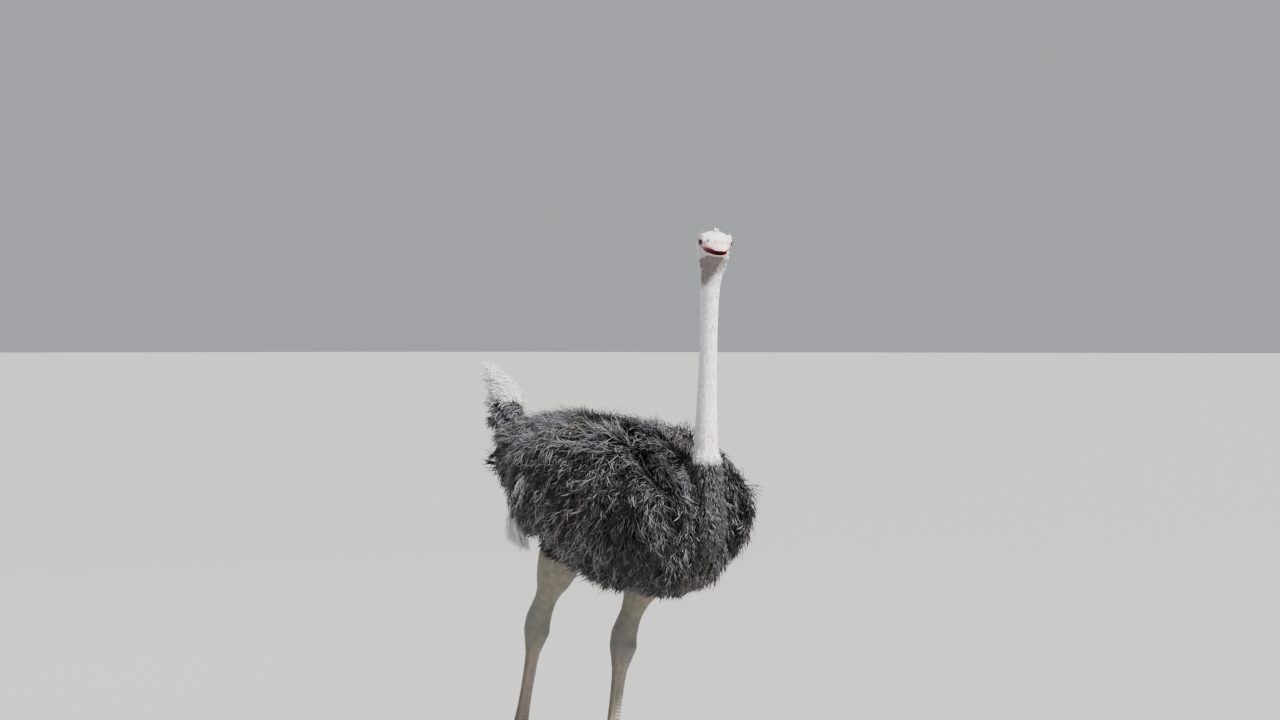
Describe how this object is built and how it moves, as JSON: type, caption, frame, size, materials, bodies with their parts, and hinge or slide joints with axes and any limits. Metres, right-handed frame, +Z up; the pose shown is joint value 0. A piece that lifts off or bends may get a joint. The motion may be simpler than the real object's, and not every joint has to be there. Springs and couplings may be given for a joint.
{
  "type": "ostrich",
  "caption": "Life-size adult male ostrich standing mid-step, neck upright, head turned and bill slightly open.",
  "frame": {"origin": "on the floor, under the middle of the bird's bounding box", "axes": "+Z up; -Y is the way the bird's body faces; +X is the bird's left"},
  "size_m": [0.758, 1.3309, 2.0899],
  "materials": {
    "black_plumage": "loose black plumes with a soft grey sheen",
    "white_plumes": "soft white plumes",
    "tail_plumes": "white plumes at the tip over grey-brown ones",
    "neck_skin": "pale skin under short white down",
    "head_skin": "pale skin with short bristly down",
    "bill_horn": "satin horn with pink lips",
    "eyeball": "wet and glossy",
    "leg_skin": "bare scaly skin",
    "claw_horn": "worn horn"
  },
  "bodies": {
    "root": {"trunk": "black_plumage", "wing_left": "black_plumage", "wing_right": "black_plumage", "neck_base": "black_plumage", "wing_plumes_left": "white_plumes", "wing_plumes_right": "white_plumes", "tail": "tail_plumes", "neck_lower": "neck_skin", "neck_middle": "neck_skin", "neck_upper": "neck_skin", "head": "head_skin", "bill_upper": "bill_horn", "bill_lower": "bill_horn", "eye_left": "eyeball", "eye_right": "eyeball", "thigh_left": "leg_skin", "thigh_right": "leg_skin", "shank_left": "leg_skin", "shank_right": "leg_skin", "toe_big_left": "leg_skin", "toe_big_right": "leg_skin", "toe_small_left": "leg_skin", "toe_small_right": "leg_skin", "claw_left": "claw_horn", "claw_right": "claw_horn"}
  },
  "joints": []
}
